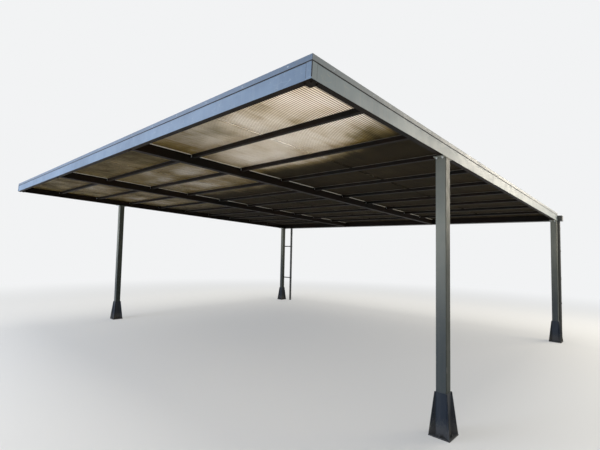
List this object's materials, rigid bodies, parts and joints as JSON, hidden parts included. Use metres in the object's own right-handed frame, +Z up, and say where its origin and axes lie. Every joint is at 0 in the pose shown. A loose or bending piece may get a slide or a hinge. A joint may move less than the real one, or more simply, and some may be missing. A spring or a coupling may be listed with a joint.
{
  "type": "carport",
  "caption": "Free-standing flat-roof carport: square steel posts on finned feet carry a channel frame with purlins, translucent sheets and a rear gutter.",
  "frame": {"origin": "on the floor, in the middle of the whole carport's outline seen from above", "axes": "+X from left to right across the front, +Y from the open front edge towards the gutter, +Z up"},
  "size_m": [7.75, 7.3178, 2.8099],
  "materials": {
    "post_paint": "anthracite powder coat, satin",
    "foot_paint": "dark navy-grey paint, satin",
    "frame_paint": "dark brown-grey powder coat, satin",
    "flashing_paint": "grey coated sheet metal, satin",
    "gutter_paint": "dark grey coated sheet metal, satin",
    "bronze_aluminium": "bronze-coated extruded profile",
    "tinted_sheet": "bronze-tinted translucent twin-wall sheet",
    "foam": "pale closed-cell foam tape"
  },
  "bodies": {
    "root": {"bearing_strips": "foam", "corner_covers": "flashing_paint", "corner_plates": "frame_paint", "front_edge_beam": "frame_paint", "front_flashing": "flashing_paint", "front_left_foot": "foot_paint", "front_left_post": "post_paint", "front_right_foot": "foot_paint", "front_right_post": "post_paint", "glazing_bars": "bronze_aluminium", "gutter_back": "gutter_paint", "gutter_brackets": "gutter_paint", "gutter_ends": "gutter_paint", "gutter_floor": "gutter_paint", "gutter_front": "gutter_paint", "gutter_outlets": "gutter_paint", "left_bay_purlins": "frame_paint", "left_beam_cleats": "frame_paint", "left_downpipe": "gutter_paint", "left_edge_beam": "frame_paint", "left_flashing": "flashing_paint", "left_inner_beam": "frame_paint", "middle_bay_purlins": "frame_paint", "pipe_clips": "frame_paint", "rear_edge_beam": "frame_paint", "rear_left_foot": "foot_paint", "rear_left_post": "post_paint", "rear_right_foot": "foot_paint", "rear_right_post": "post_paint", "rear_sheet_closure": "bronze_aluminium", "right_bay_purlins": "frame_paint", "right_beam_cleats": "frame_paint", "right_downpipe": "gutter_paint", "right_edge_beam": "frame_paint", "right_flashing": "flashing_paint", "right_inner_beam": "frame_paint", "roof_sheet_1": "tinted_sheet", "roof_sheet_2": "tinted_sheet", "roof_sheet_3": "tinted_sheet", "roof_sheet_4": "tinted_sheet", "roof_sheet_5": "tinted_sheet", "roof_sheet_6": "tinted_sheet", "sealing_tapes": "foam", "sheet_joiners": "tinted_sheet"}
  },
  "joints": []
}
